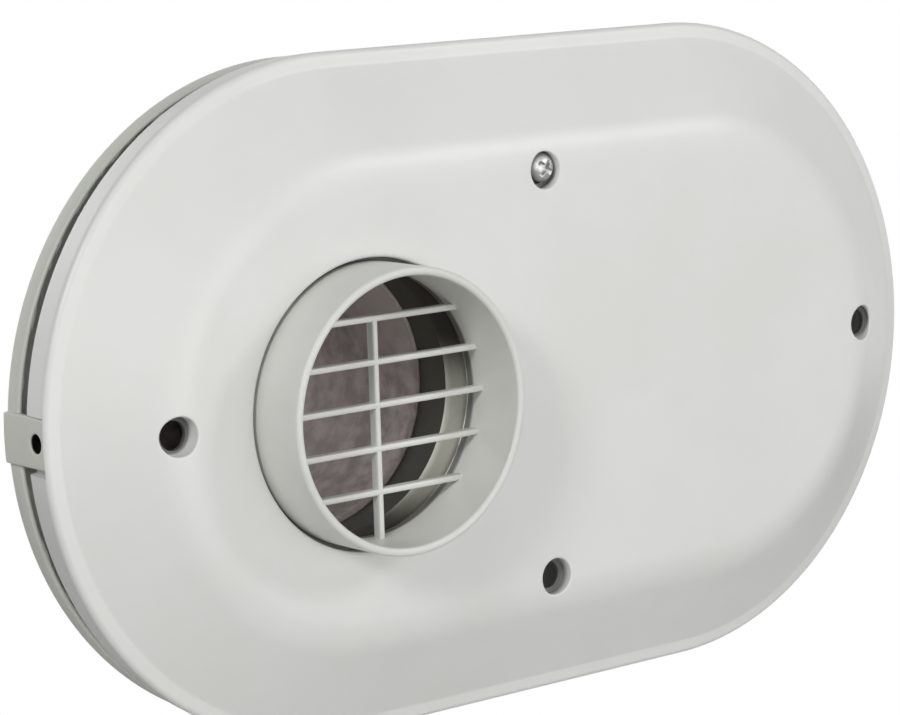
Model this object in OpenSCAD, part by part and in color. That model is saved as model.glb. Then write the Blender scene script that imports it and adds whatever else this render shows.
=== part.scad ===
// Oblong wall terminal: round flue outlet at one end, air slot all round behind the cover.
// Frame: +X along the length, +Y into the wall, +Z up. Origin on the wall face, at the middle.
// Depths (names ending in _d) are measured into the wall from the flat front face.

/* [Cover] */
// Overall length of the cover
cover_l = 240; // [220:1:260]
// Overall height of the cover, which also sets the round ends
cover_h = 144; // [136:1:150]
// Wall thickness of the cover moulding
cover_t = 3; // [2.5:0.1:3.5]
// Depth of the rim's outer edge behind the face
rim_d = 12.2; // [11.8:0.1:13]
// Depth of the skirt's rear edge behind the face
skirt_d = 19.6; // [19.4:0.1:20.5]
// How far the skirt draws in between the rim and its rear edge
skirt_draw = 0.8; // [0:0.1:1.2]
// Width of the flat land round the rim
land_w = 3.4; // [2:0.1:5]
// Distance from the outline to the crease where the shoulder meets the face
crease_in = 23; // [20:0.5:26]
// Radius of the soft crease
crease_r = 16; // [8:1:20]

/* [Outlet] */
// Outside diameter of the outlet spigot
outlet_od = 59; // [58:0.2:60]
// Wall thickness of the spigot
outlet_t = 1.8; // [1.6:0.1:2.4]
// How far the spigot stands out of the face
outlet_proud = 13; // [8:0.5:16]
// Gap between the spigot and the hole in the cover
outlet_gap = 0.6; // [0.3:0.1:1]
// Number of level slats across the outlet
slat_count = 5; // [3:1:6]
// Distance between slats
slat_pitch = 9; // [7:0.5:9]
// Thickness of a slat and of the upright bar
slat_t = 1.3; // [1:0.1:2]
// Depth of the slats along the flow
slat_depth = 2.4; // [1.5:0.1:4]

/* [Screw points] */
// Distance from the middle to the screw point at each end
end_screw_x = 96; // [92:0.5:98]
// Distance from the middle to the screw point above and below
mid_screw_z = 44; // [42:0.5:46]
// Diameter of the recess round a screw head
recess_dia = 8.4; // [8.2:0.1:9]
// Depth of the seat at the bottom of the recess
seat_d = 3.1; // [3:0.1:3.5]

/* [Back plate] */
// Height of the air slot between skirt and back plate
slot_w = 4.3; // [3:0.1:5]
// Depth of the back plate's rim, front to rear
plate_d = 4.1; // [3.8:0.1:6]
// Thickness of the back plate's floor
floor_t = 2.6; // [2:0.1:3]
// How far the back plate's outline lies inside the cover's
plate_in = 1.6; // [1:0.1:2.5]
// Wall screw holes: distance apart along the length
wall_hole_x = 172; // [164:1:176]
// Wall screw holes: distance apart in height
wall_hole_z = 80; // [74:1:82]
// Diameter of a wall screw hole
wall_hole_dia = 5.2; // [4.5:0.1:6]

/* [Ducts] */
// Outside diameter of the flue pipe and of the intake collar
duct_od = 60; // [58:0.5:60]
// How far both ducts reach behind the wall face
duct_rear = 41; // [30:1:60]
// How far behind the wall face the groove rolled round each duct ends
groove_rear = 1.5; // [1.5:0.5:4]
// Width of that groove along the duct
groove_w = 1; // [0.8:0.1:1.5]
// Depth of that groove
groove_deep = 1; // [0.8:0.1:1.2]
// Wall thickness of the flue pipe
flue_t = 1.5; // [1.4:0.1:2.5]
// Wall thickness of the intake collar
intake_t = 2.2; // [1.6:0.1:2.4]

/* [Hidden] */

$fn = 96;
EPS = 0.01;
ARC_STEPS = 6;

// Places that follow from the driving sizes
end_r = cover_h / 2;
end_x = (cover_l - cover_h) / 2;
plate_front_d = skirt_d + slot_w;
plate_rear_d = plate_front_d + plate_d;
floor_d = plate_rear_d - floor_t;
gasket_t = 1.4;
gasket_w = 6;
gasket_in = 5;
wall_d = plate_rear_d;
outlet_r = outlet_od / 2;
bore_r = outlet_r - outlet_t;
duct_r = duct_od / 2;
groove_rear_d = wall_d + groove_rear;
groove_front_d = groove_rear_d - groove_w;

// Screw points of the cover: both ends, then above and below the middle
SCREW_POINTS = [[-end_screw_x, 0], [end_screw_x, 0], [0, mid_screw_z], [0, -mid_screw_z]];
recess_r = recess_dia / 2;
recess_wall = 2;
seat_t = 1.2;
seat_rear_d = seat_d + seat_t;
screw_hole_r = 3;
boss_front_d = 16;
boss_r = 5.2;
insert_r = 3;
insert_bore_r = 2.05;
insert_len = 6;
insert_hole_rear_d = floor_d - 1;

// Posts above and below each boss, on which the cover's seats rest
post_r = 1.3;
post_z = 4.7;

// Ears and pillars that hold the spigot to the inside of the cover
EAR_ANGLES = [45, 135, 225, 315];
ear_pcr = 39.5;
ear_r = 3.4;
ear_d = 8;
ear_t = 2.4;
pillar_r = 3.2;
pilot_r = 1.2;
socket_r = 32.4;
socket_wall = 2.2;
socket_end_d = 17;
flange_d = cover_t;
flange_t = 2.4;

// Metal collar, seal and pipe that continue the outlet behind the cover
collar_front_d = 3.8;
collar_rear_d = 11.2;
collar_t = 0.8;
collar_lip_t = 0.8;
pipe_front_d = 21.5;
pipe_flange_t = 1.2;
pipe_flange_r = 40.5;
pipe_screw_pcr = 36.6;
intake_front_d = 19;
plate_gap = 0.4;

// Small pan-head screws
small_head_r = 2.6;
small_head_h = 1.8;
small_shank_r = 1.45;
cross_w = 0.9;
cross_l = 3.2;
cross_d = 0.9;

// End tab of the back plate, with the side screw hole
tab_w = 10.4;
tab_in = 0.6;
tab_t = 1.6;
tab_front_d = 13.2;
tab_gap = 0.3;
tab_gap_top = 0.1;
tab_gap_below = 1.3;
tab_hole_d = 16.3;
tab_hole_r = 2;
tab_outer_r = end_r - tab_in;
tab_inner_r = tab_outer_r - tab_t;
lock_outer_r = tab_inner_r - tab_gap;
lock_t = 8.5;
lock_w = 9;
lock_hole_r = 1.9;
lock_pocket_r = 2.8;
lock_pocket_from_r = lock_outer_r - lock_t + 1;
lock_pocket_to_r = lock_outer_r - 1.2;

// Frame helpers: depth behind the face to frame Y, and a turn that lays an axis along +Y
function y_of(depth) = depth - wall_d;
function polar(radius, angle) = [radius * cos(angle), radius * sin(angle)];

module at_depth(depth) {
    translate([0, y_of(depth), 0])
        rotate([-90, 0, 0])
            mirror([0, 1, 0])
                children();
}

// A round bar along Y between two depths, centred on [x, z]
module bar(place, radius, from_d, to_d) {
    translate([place[0], 0, place[1]])
        at_depth(from_d)
            cylinder(r = radius, h = to_d - from_d);
}

module tube(place, outer_r, inner_r, from_d, to_d) {
    difference() {
        bar(place, outer_r, from_d, to_d);
        bar(place, inner_r, from_d - EPS, to_d + EPS);
    }
}

// Flat oblong with round ends, at an inset from the cover's outline
module oblong(inset) {
    radius = end_r - inset;
    for (side = [-1, 1])
        translate([side * end_x, 0])
            circle(r = radius, $fn = 180);
    square([2 * end_x, 2 * radius], center = true);
}

module oblong_slab(inset, from_d, to_d) {
    at_depth(from_d)
        linear_extrude(height = to_d - from_d)
            oblong(inset);
}

// Solid oblong dish: the profile lists [inset, depth] from the middle line to the rear edge
module oblong_dish(profile, rear_d) {
    half = [
        [0, profile[0][1]],
        for (point = profile) [end_r - point[0], point[1]],
        [0, rear_d],
    ];
    for (side = [-1, 1])
        translate([side * end_x, y_of(0), 0])
            rotate([-90, 0, 0])
                rotate_extrude($fn = 180)
                    polygon(half);
    translate([-end_x, y_of(0), 0])
        rotate([90, 0, 90])
            linear_extrude(height = 2 * end_x)
                union() {
                    polygon([for (point = half) [point[1], point[0]]]);
                    polygon([for (point = half) [point[1], -point[0]]]);
                }
}

// Points of an arc that blends a corner, from one tangent point to the other
function blend(centre, radius, from_a, to_a) = [
    for (step = [0 : ARC_STEPS])
        let (angle = from_a + (to_a - from_a) * step / ARC_STEPS)
            [centre[0] - radius * sin(angle), centre[1] - radius * cos(angle)]
];

// Outside of the cover: flat face, soft crease, sloping shoulder, land, rounded edge, skirt
land_fall = 0.6;
land_d = rim_d - land_fall;
shoulder_a = atan2(land_d, crease_in - land_w);
crease_reach = crease_r * tan(shoulder_a / 2);
edge_r = 1.2;
OUTER_PROFILE = concat(
    blend([crease_in + crease_reach, crease_r], crease_r, 0, shoulder_a),
    [[land_w, land_d]],
    [for (angle = [15 : 15 : 90]) [edge_r - edge_r * sin(angle), rim_d + edge_r * (1 - cos(angle))]],
    [[skirt_draw, skirt_d]]
);

// Inside of the cover: the same form, one wall thickness in
inner_crease_r = crease_r - cover_t;
inner_crease_in = crease_in + cover_t * tan(shoulder_a / 2);
inner_reach = inner_crease_r * tan(shoulder_a / 2);
inner_land_d = land_d + cover_t;
inner_land_in = inner_crease_in - (inner_land_d - cover_t) / tan(shoulder_a);
INNER_PROFILE = concat(
    blend([inner_crease_in + inner_reach, cover_t + inner_crease_r], inner_crease_r, 0, shoulder_a),
    [[max(inner_land_in, cover_t + skirt_draw + 0.1), inner_land_d]],
    [[cover_t + skirt_draw, skirt_d + EPS]]
);

module cover_shell() {
    difference() {
        oblong_dish(OUTER_PROFILE, skirt_d);
        oblong_dish(INNER_PROFILE, skirt_d + EPS);
    }
}

// A block of the ring between two radii about one end, used for the end tabs and what they pass.
// It may be let down by a small drop.
module end_block(side, outer_r, inner_r, width, from_d, to_d, drop = 0) {
    intersection() {
        tube([side * end_x, 0], outer_r, inner_r, from_d, to_d);
        translate([side * (end_x + (outer_r + inner_r) / 2), y_of((from_d + to_d) / 2), -drop])
            cube([2 * (outer_r - inner_r) + 4, to_d - from_d + 2, width], center = true);
    }
}

// A round hole along X at one end, between two distances from the end's centre
module end_hole(side, radius, depth, from_r, to_r) {
    translate([side * (end_x + from_r), y_of(depth), 0])
        rotate([0, side * 90, 0])
            cylinder(r = radius, h = to_r - from_r);
}

module front_cover() {
    color([0.86, 0.86, 0.85])
        difference() {
            union() {
                difference() {
                    cover_shell();
                    bar([-end_x, 0], outlet_r + outlet_gap, -EPS, cover_t + EPS);
                    for (side = [-1, 1])
                        end_block(side, end_r + 2, lock_outer_r, tab_w + tab_gap_top + tab_gap_below,
                            tab_front_d - tab_gap, skirt_d + 1, (tab_gap_below - tab_gap_top) / 2);
                }
                intersection() {
                    oblong_dish(OUTER_PROFILE, skirt_d);
                    union() {
                        for (place = SCREW_POINTS)
                            bar(place, recess_r + recess_wall, 0, seat_rear_d);
                        for (side = [-1, 1])
                            end_block(side, lock_outer_r, lock_outer_r - lock_t, lock_w,
                                land_d, skirt_d);
                    }
                }
                for (angle = EAR_ANGLES)
                    bar([-end_x, 0] + polar(ear_pcr, angle), pillar_r, cover_t - EPS, ear_d);
            }
            for (place = SCREW_POINTS) {
                bar(place, recess_r, -1, seat_d);
                bar(place, screw_hole_r, seat_d - 1, seat_rear_d + 1);
            }
            for (angle = EAR_ANGLES)
                bar([-end_x, 0] + polar(ear_pcr, angle), pilot_r, cover_t, ear_d + 1);
            for (side = [-1, 1]) {
                end_hole(side, lock_hole_r, tab_hole_d, lock_pocket_to_r - EPS, end_r + 2);
                end_hole(side, lock_pocket_r, tab_hole_d, lock_pocket_from_r, lock_pocket_to_r);
            }
        }
}

// Level slats and the upright bar, which runs from the top slat down to the bottom of the bore
module outlet_slats() {
    top_z = slat_pitch * (slat_count - 1) / 2;
    intersection() {
        bar([-end_x, 0], bore_r + outlet_t / 2, -slat_depth, slat_depth);
        union() {
            for (index = [0 : slat_count - 1])
                translate([-end_x, y_of(0), top_z - index * slat_pitch])
                    cube([2 * outlet_r, slat_depth, slat_t], center = true);
            translate([-end_x - slat_t / 2, y_of(-slat_depth / 2), -outlet_r])
                cube([slat_t, slat_depth, outlet_r + top_z]);
        }
    }
}

module outlet_spigot() {
    place = [-end_x, 0];
    rim_round = 0.7;
    color([0.84, 0.85, 0.83])
        difference() {
            union() {
                translate([-end_x, y_of(0), 0])
                    rotate([-90, 0, 0])
                        rotate_extrude($fn = 128)
                            polygon([
                                [bore_r, collar_front_d],
                                [bore_r, -outlet_proud + rim_round],
                                [bore_r + rim_round * 0.3, -outlet_proud + rim_round * 0.3],
                                [bore_r + rim_round, -outlet_proud],
                                [outlet_r - rim_round, -outlet_proud],
                                [outlet_r - rim_round * 0.3, -outlet_proud + rim_round * 0.3],
                                [outlet_r, -outlet_proud + rim_round],
                                [outlet_r, flange_d],
                                [socket_r + socket_wall, flange_d],
                                [socket_r + socket_wall, socket_end_d],
                                [socket_r, socket_end_d],
                                [socket_r, flange_d + flange_t],
                                [bore_r + collar_t, flange_d + flange_t],
                                [bore_r + collar_t, collar_front_d],
                            ]);
                outlet_slats();
                for (angle = EAR_ANGLES) {
                    bar(place + polar(ear_pcr, angle), ear_r, ear_d, ear_d + ear_t);
                    translate([-end_x, 0, 0])
                        rotate([0, -angle, 0])
                            translate([socket_r + socket_wall / 2, y_of(ear_d), -ear_r])
                                cube([ear_pcr - socket_r - socket_wall / 2, ear_t, 2 * ear_r]);
                }
            }
            for (angle = EAR_ANGLES)
                bar(place + polar(ear_pcr, angle), small_shank_r + 0.2, ear_d - 1, ear_d + ear_t + 1);
        }
}

// A pan-head screw along Y: the head's underside sits at under_d, the shank runs toward the face
module small_screw(place, under_d, tip_d) {
    head_dir = under_d > tip_d ? 1 : -1;
    head_end_d = under_d + head_dir * small_head_h;
    difference() {
        union() {
            bar(place, small_head_r, min(under_d, head_end_d), max(under_d, head_end_d));
            bar(place, small_shank_r, min(under_d, tip_d), max(under_d, tip_d));
        }
        for (turn = [0, 90])
            translate([place[0], y_of(head_end_d), place[1]])
                rotate([0, turn, 0])
                    cube([cross_l, 2 * cross_d, cross_w], center = true);
    }
}

module spigot_screws() {
    color([0.72, 0.72, 0.72])
        for (angle = EAR_ANGLES)
            difference() {
                small_screw([-end_x, 0] + polar(ear_pcr, angle), ear_d + ear_t, cover_t + 0.8);
                tube([-end_x, 0] + polar(ear_pcr, angle), small_shank_r + 1, pilot_r - EPS,
                    cover_t, ear_d);
            }
}

module flue_collar() {
    color([0.78, 0.78, 0.77])
        translate([-end_x, y_of(0), 0])
            rotate([-90, 0, 0])
                rotate_extrude($fn = 128)
                    polygon([
                        [bore_r, collar_front_d],
                        [bore_r + collar_t, collar_front_d],
                        [bore_r + collar_t, flange_d + flange_t],
                        [socket_r, flange_d + flange_t],
                        [socket_r, flange_d + flange_t + collar_lip_t],
                        [bore_r + collar_t, flange_d + flange_t + collar_lip_t],
                        [bore_r + collar_t, collar_rear_d],
                        [bore_r, collar_rear_d],
                    ]);
}

// Black seal: packs the socket behind the collar's lip and grips the front end of the pipe
module flue_seal() {
    lip_rear_d = flange_d + flange_t + collar_lip_t;
    inside_r = duct_r - 1;
    color([0.09, 0.09, 0.09])
        translate([-end_x, y_of(0), 0])
            rotate([-90, 0, 0])
                rotate_extrude($fn = 128)
                    polygon([
                        [bore_r + collar_t, lip_rear_d],
                        [socket_r, lip_rear_d],
                        [socket_r, floor_d - pipe_flange_t],
                        [duct_r, floor_d - pipe_flange_t],
                        [duct_r, pipe_front_d],
                        [inside_r, pipe_front_d],
                        [inside_r, collar_rear_d],
                        [bore_r + collar_t, collar_rear_d],
                    ]);
}

// A duct with a flange that lies on the front of the back plate's floor. The groove rolled
// round it just behind the wall face marks how far the next duct is pushed on.
module flanged_duct(side, wall, front_d) {
    place = [side * end_x, 0];
    rear_d = wall_d + duct_rear;
    difference() {
        union() {
            bar(place, duct_r, front_d, groove_front_d);
            bar(place, duct_r - groove_deep, front_d, rear_d - 1);
            bar(place, duct_r, groove_rear_d, rear_d);
            bar(place, pipe_flange_r, floor_d - pipe_flange_t, floor_d);
        }
        bar(place, duct_r - wall, front_d - 1, rear_d + 1);
        for (angle = EAR_ANGLES)
            bar(place + polar(pipe_screw_pcr, angle), small_shank_r + 0.2,
                floor_d - pipe_flange_t - 1, floor_d + 1);
    }
}

module flue_pipe() {
    color([0.55, 0.50, 0.49])
        flanged_duct(-1, flue_t, pipe_front_d);
}

module intake_collar() {
    color([0.30, 0.30, 0.31])
        flanged_duct(1, intake_t, intake_front_d);
}

module duct_screws(side) {
    for (angle = EAR_ANGLES)
        small_screw([side * end_x, 0] + polar(pipe_screw_pcr, angle),
            floor_d - pipe_flange_t, floor_d + floor_t - 0.6);
}

module flue_screws() {
    color([0.72, 0.72, 0.72])
        duct_screws(-1);
}

module intake_screws() {
    color([0.72, 0.72, 0.72])
        duct_screws(1);
}

module back_plate() {
    rib_t = 2;
    rib_h = 5;
    wall_pad_r = 6;
    wall_pad_h = 2;
    plate_wall = 1;
    color([0.80, 0.81, 0.79])
        difference() {
            union() {
                difference() {
                    oblong_slab(plate_in, plate_front_d, plate_rear_d);
                    oblong_slab(plate_in + plate_wall, plate_front_d - 1, floor_d);
                }
                for (place = SCREW_POINTS) {
                    bar(place, boss_r, boss_front_d, floor_d + EPS);
                    for (side = [-1, 1])
                        bar(place + [0, side * post_z], post_r, seat_rear_d, floor_d + EPS);
                }
                for (sx = [-1, 1], sz = [-1, 1])
                    bar([sx * wall_hole_x / 2, sz * wall_hole_z / 2], wall_pad_r,
                        floor_d - wall_pad_h, floor_d + EPS);
                translate([0, y_of(floor_d - rib_h / 2), 0])
                    cube([rib_t, rib_h, 2 * (end_r - plate_in - 1)], center = true);
                for (side = [-1, 1])
                    {
                        end_block(side, tab_outer_r, tab_inner_r, tab_w, tab_front_d, plate_rear_d);
                        end_block(side, tab_outer_r, end_r - plate_in - plate_wall, tab_w,
                            plate_front_d, plate_rear_d);
                    }
            }
            for (side = [-1, 1])
                bar([side * end_x, 0], duct_r + plate_gap, floor_d - 1, plate_rear_d + 1);
            for (place = SCREW_POINTS) {
                bar(place, insert_r, boss_front_d - 1, boss_front_d + insert_len);
                bar(place, insert_bore_r, boss_front_d, insert_hole_rear_d);
            }
            for (sx = [-1, 1], sz = [-1, 1])
                bar([sx * wall_hole_x / 2, sz * wall_hole_z / 2], wall_hole_dia / 2,
                    floor_d - wall_pad_h - 1, plate_rear_d + 1);
            for (side = [-1, 1], angle = EAR_ANGLES)
                bar([side * end_x, 0] + polar(pipe_screw_pcr, angle), small_shank_r,
                    floor_d - 1, floor_d + floor_t - 0.6);
            for (side = [-1, 1])
                end_hole(side, tab_hole_r, tab_hole_d, tab_inner_r - 3, end_r + 2);
            difference() {
                oblong_slab(gasket_in, plate_rear_d - gasket_t, plate_rear_d + 1);
                oblong_slab(gasket_in + gasket_w, plate_rear_d - gasket_t - 1, plate_rear_d + 2);
            }
        }
}

module boss_inserts() {
    color([0.80, 0.66, 0.36])
        for (place = SCREW_POINTS)
            tube(place, insert_r, insert_bore_r, boss_front_d, boss_front_d + insert_len);
}

// The one screw that is fitted: cross-recess pan head, in the upper recess
module cover_screw() {
    place = [0, mid_screw_z];
    head_r = 3.5;
    head_d = 0.5;
    shank_r = 2;
    shank_end_d = 21.5;
    slot_l = 5;
    slot_width = 1.1;
    color([0.75, 0.75, 0.76])
        difference() {
            translate([place[0], y_of(0), place[1]])
                rotate([-90, 0, 0])
                    rotate_extrude()
                        polygon([
                            [0, head_d],
                            [head_r * 0.5, head_d + 0.1],
                            [head_r * 0.8, head_d + 0.4],
                            [head_r, head_d + 1.1],
                            [head_r, seat_d],
                            [shank_r, seat_d],
                            [shank_r, shank_end_d - 1],
                            [shank_r - 1, shank_end_d],
                            [0, shank_end_d],
                        ]);
            for (turn = [20, 110])
                translate([place[0], y_of(head_d), place[1]])
                    rotate([0, turn, 0])
                        cube([slot_l, 2.6, slot_width], center = true);
        }
}

module wall_gasket() {
    color([0.22, 0.22, 0.23])
        difference() {
            oblong_slab(gasket_in, plate_rear_d - gasket_t, plate_rear_d);
            oblong_slab(gasket_in + gasket_w, plate_rear_d - gasket_t - 1, plate_rear_d + 1);
        }
}

front_cover();
outlet_spigot();
spigot_screws();
flue_collar();
flue_seal();
flue_pipe();
flue_screws();
intake_collar();
intake_screws();
back_plate();
boss_inserts();
cover_screw();
wall_gasket();
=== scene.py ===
"""Oblong wall terminal, dressed: moulded cover, slatted round outlet, flue behind it, back plate.

Row frame in metres: +X along the length, +Y into the wall, +Z up, origin on the wall face.
Sizes below are in millimetres. A depth is measured into the wall from the flat front face.
"""

import logging
import math
from dataclasses import dataclass, field
from enum import Enum
from typing import Callable, Optional, Sequence

import bmesh
import bpy
import numpy as np
from mathutils import Matrix
from mathutils.geometry import delaunay_2d_cdt


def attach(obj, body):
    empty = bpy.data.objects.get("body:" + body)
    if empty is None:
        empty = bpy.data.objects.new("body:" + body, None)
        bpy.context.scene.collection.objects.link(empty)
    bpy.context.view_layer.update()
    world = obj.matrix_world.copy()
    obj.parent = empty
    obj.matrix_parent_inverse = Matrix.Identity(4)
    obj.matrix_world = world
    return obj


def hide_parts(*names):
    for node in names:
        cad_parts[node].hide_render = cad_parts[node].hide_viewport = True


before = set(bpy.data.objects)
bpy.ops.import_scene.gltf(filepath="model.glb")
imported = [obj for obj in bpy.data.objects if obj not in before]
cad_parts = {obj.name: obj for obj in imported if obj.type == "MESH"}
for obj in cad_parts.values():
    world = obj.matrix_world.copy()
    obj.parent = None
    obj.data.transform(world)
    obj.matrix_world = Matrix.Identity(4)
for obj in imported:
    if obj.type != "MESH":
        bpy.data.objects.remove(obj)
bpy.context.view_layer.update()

LOG = logging.getLogger("wall_terminal")

MM = 0.001
WALL_DEPTH = 28.0
BODY = "root"


class Grain(Enum):
    """Ways in which a surface was made, which set how its fine relief runs."""

    SPARK_ERODED = "even fine grain of a spark-eroded mould"
    TURNED = "rings round the duct's axis"
    MATT = "soft uneven skin"


# Numbers and meshes


def linear(hex_colour: str) -> tuple[float, float, float, float]:
    """Turns an sRGB colour into the linear one that the shaders take.

    Args:
        hex_colour: Six hex digits, with or without a leading hash sign.

    Returns:
        Linear red, green, blue and an alpha of one.
    """
    digits = hex_colour.lstrip("#")
    srgb = np.array([int(digits[k : k + 2], 16) for k in (0, 2, 4)]) / 255.0
    rgb = np.where(srgb <= 0.04045, srgb / 12.92, ((srgb + 0.055) / 1.055) ** 2.4)
    return (float(rgb[0]), float(rgb[1]), float(rgb[2]), 1.0)


def per_mm(size: float) -> float:
    """Gives the texture scale, per metre, at which one feature is `size` millimetres across."""
    return 1.0 / (size * MM)


def in_frame(plan: np.ndarray, depth: np.ndarray) -> np.ndarray:
    """Puts plan points at a depth into the row frame: (x, z) and depth become (x, depth - wall, z).

    Args:
        plan: Points (..., 2) in the plane of the face, in millimetres.
        depth: Depth behind the face for each point.

    Returns:
        Points (..., 3) in metres.
    """
    depth = np.broadcast_to(depth, plan.shape[:-1])
    return np.stack([plan[..., 0], depth - WALL_DEPTH, plan[..., 1]], axis=-1) * MM


def soft_path(corners: Sequence[Sequence[float]], radii: Sequence[float], arc: int = 6) -> np.ndarray:
    """Polyline through corners, each inner corner replaced by the arc of its radius.

    The arc touches both legs at radius / tan(half the corner's angle) from the corner. Its points
    are slerped between the two tangent points about the arc's centre.

    Args:
        corners: The corner points (n, 2).
        radii: One radius per corner; zero keeps it sharp. The two ends are always sharp.
        arc: Number of steps along each arc.

    Returns:
        Points (m, 2) from the first corner to the last.
    """
    pts = np.asarray(corners, float)
    runs = [pts[:1]]
    for k in range(1, len(pts) - 1):
        u = pts[k - 1] - pts[k]
        v = pts[k + 1] - pts[k]
        lu, lv = np.linalg.norm(u), np.linalg.norm(v)
        u, v = u / lu, v / lv
        half = math.acos(float(np.clip(u @ v, -1, 1))) / 2
        if radii[k] <= 0 or half > math.pi / 2 - 1e-3:
            runs.append(pts[k : k + 1])
            continue
        reach = min(radii[k] / math.tan(half), 0.499 * min(lu, lv) if 0 < k < len(pts) - 1 else 1e9)
        radius = reach * math.tan(half)
        centre = pts[k] + (u + v) / np.linalg.norm(u + v) * radius / math.sin(half)
        a, b = pts[k] + u * reach - centre, pts[k] + v * reach - centre
        turn = math.pi - 2 * half
        s = np.linspace(0, 1, arc + 1)[:, None]
        runs.append(centre + (np.sin((1 - s) * turn) * a + np.sin(s * turn) * b) / math.sin(turn))
    runs.append(pts[-1:])
    return np.vstack(runs)


def refine(path: np.ndarray, step: float) -> np.ndarray:
    """Adds points to a polyline so that no two lie more than `step` apart, keeping its own."""
    s = np.concatenate([[0], np.cumsum(np.linalg.norm(np.diff(path, axis=0), axis=1))])
    counts = np.maximum(1, np.ceil(np.diff(s) / step)).astype(int)
    runs = [np.linspace(s[k], s[k + 1], n, endpoint=False) for k, n in enumerate(counts)]
    at = np.concatenate(runs + [s[-1:]])
    return np.column_stack([np.interp(at, s, path[:, 0]), np.interp(at, s, path[:, 1])])


def grid_quads(rows: int, cols: int, wrap_rows: bool = False, wrap_cols: bool = True) -> np.ndarray:
    """Quads of a grid of rows * cols points: each joins (i, j), (i, j+1), (i+1, j+1), (i+1, j).

    Args:
        rows: Points along the first parameter.
        cols: Points along the second parameter.
        wrap_rows: Whether the last row joins the first.
        wrap_cols: Whether the last column joins the first.

    Returns:
        Vertex numbers (k, 4).
    """
    i = np.arange(rows if wrap_rows else rows - 1)
    j = np.arange(cols if wrap_cols else cols - 1)
    i, j = (a.ravel() for a in np.meshgrid(i, j, indexing="ij"))
    i2, j2 = (i + 1) % rows, (j + 1) % cols
    return np.column_stack([i * cols + j, i * cols + j2, i2 * cols + j2, i2 * cols + j])


@dataclass
class Skin:
    """Surfaces that will be welded into one piece."""

    points: list[np.ndarray] = field(default_factory=list)
    faces: list[np.ndarray] = field(default_factory=list)
    count: int = 0

    def add(self, points: np.ndarray, faces: np.ndarray) -> None:
        """Adds one surface.

        Args:
            points: Its points (..., 3) in metres.
            faces: Its vertex numbers (k, 3) or (k, 4).
        """
        flat = points.reshape(-1, 3)
        self.points.append(flat)
        self.faces.append(faces + self.count)
        self.count += len(flat)

    def grid(self, points: np.ndarray, wrap_rows: bool = False, wrap_cols: bool = True) -> None:
        """Adds a grid of points (rows, cols, 3) as quads."""
        self.add(points, grid_quads(points.shape[0], points.shape[1], wrap_rows, wrap_cols))

    def strip(self, first: np.ndarray, second: np.ndarray) -> None:
        """Adds the closed band between two loops with the same number of points."""
        self.grid(np.stack([first, second]))

    def piece(self, name: str, crease_angle: float = 36.0) -> bpy.types.Object:
        """Welds the surfaces, turns the faces outwards and makes the object.

        Args:
            name: The object's name.
            crease_angle: Edges that turn by more than this, in degrees, are shaded sharp.

        Returns:
            The new object, at the origin.
        """
        mesh = bpy.data.meshes.new(name)
        faces = [tuple(f) for block in self.faces for f in block.tolist()]
        mesh.from_pydata(np.vstack(self.points).tolist(), [], faces)
        form = bmesh.new()
        form.from_mesh(mesh)
        bmesh.ops.remove_doubles(form, verts=form.verts, dist=2e-6)
        bmesh.ops.dissolve_degenerate(form, dist=1e-7, edges=form.edges)
        bmesh.ops.recalc_face_normals(form, faces=form.faces)
        form.to_mesh(mesh)
        form.free()
        mesh.polygons.foreach_set("use_smooth", np.ones(len(mesh.polygons), bool))
        mesh.set_sharp_from_angle(angle=math.radians(crease_angle))
        mesh.update()
        thing = bpy.data.objects.new(name, mesh)
        bpy.context.scene.collection.objects.link(thing)
        return thing


def circle(centre: tuple[float, float], radius: float, count: int, start: float = 0.0) -> np.ndarray:
    """Points (count, 2) of a circle: centre + radius * (cos t, sin t), t from `start` radians."""
    t = start + np.arange(count) * 2 * math.pi / count
    return np.asarray(centre) + radius * np.column_stack([np.cos(t), np.sin(t)])


def revolved(profile: np.ndarray, centre: tuple[float, float], count: int) -> np.ndarray:
    """Carries a profile round an axis along Y: (x, z) = centre + radius * (cos t, sin t).

    Args:
        profile: Points (n, 2) of radius and depth.
        centre: The axis in the plane of the face.
        count: Number of steps round the axis.

    Returns:
        Points (n, count, 3) in metres.
    """
    ring = circle((0, 0), 1.0, count)
    plan = np.asarray(centre) + profile[:, None, :1] * ring[None]
    return in_frame(plan, profile[:, 1:2])


def filled(loops: Sequence[np.ndarray], points: np.ndarray) -> tuple[np.ndarray, np.ndarray]:
    """Delaunay triangles of a plan region: the first loop is its edge, and the rest are holes.

    Args:
        loops: Closed loops (n, 2). The first is convex and so are the holes.
        points: Further points (m, 2) inside the region and outside the holes.

    Returns:
        The plan points and the triangles' vertex numbers.
    """
    start, edges = 0, []
    for loop in loops:
        k = np.arange(len(loop))
        edges += (np.column_stack([k, (k + 1) % len(loop)]) + start).tolist()
        start += len(loop)
    plan = np.vstack([*loops, points])
    verts, _, tris, _, _, _ = delaunay_2d_cdt(plan.tolist(), edges, [], 0, 1e-7)
    plan, tris = np.array([tuple(v) for v in verts]), np.array(tris)
    middle = plan[tris].mean(axis=1)
    keep = np.ones(len(tris), bool)
    for hole in loops[1:]:
        keep &= ~inside_convex(hole, middle)
    return plan, tris[keep]


def inside_convex(loop: np.ndarray, points: np.ndarray) -> np.ndarray:
    """Tells which points lie inside a convex loop, by the sign of each edge's cross product."""
    a = loop
    e = np.roll(loop, -1, axis=0) - a
    cross = e[None, :, 0] * (points[:, None, 1] - a[None, :, 1]) - e[None, :, 1] * (points[:, None, 0] - a[None, :, 0])
    return (cross > 0).all(axis=1) | (cross < 0).all(axis=1)


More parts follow.
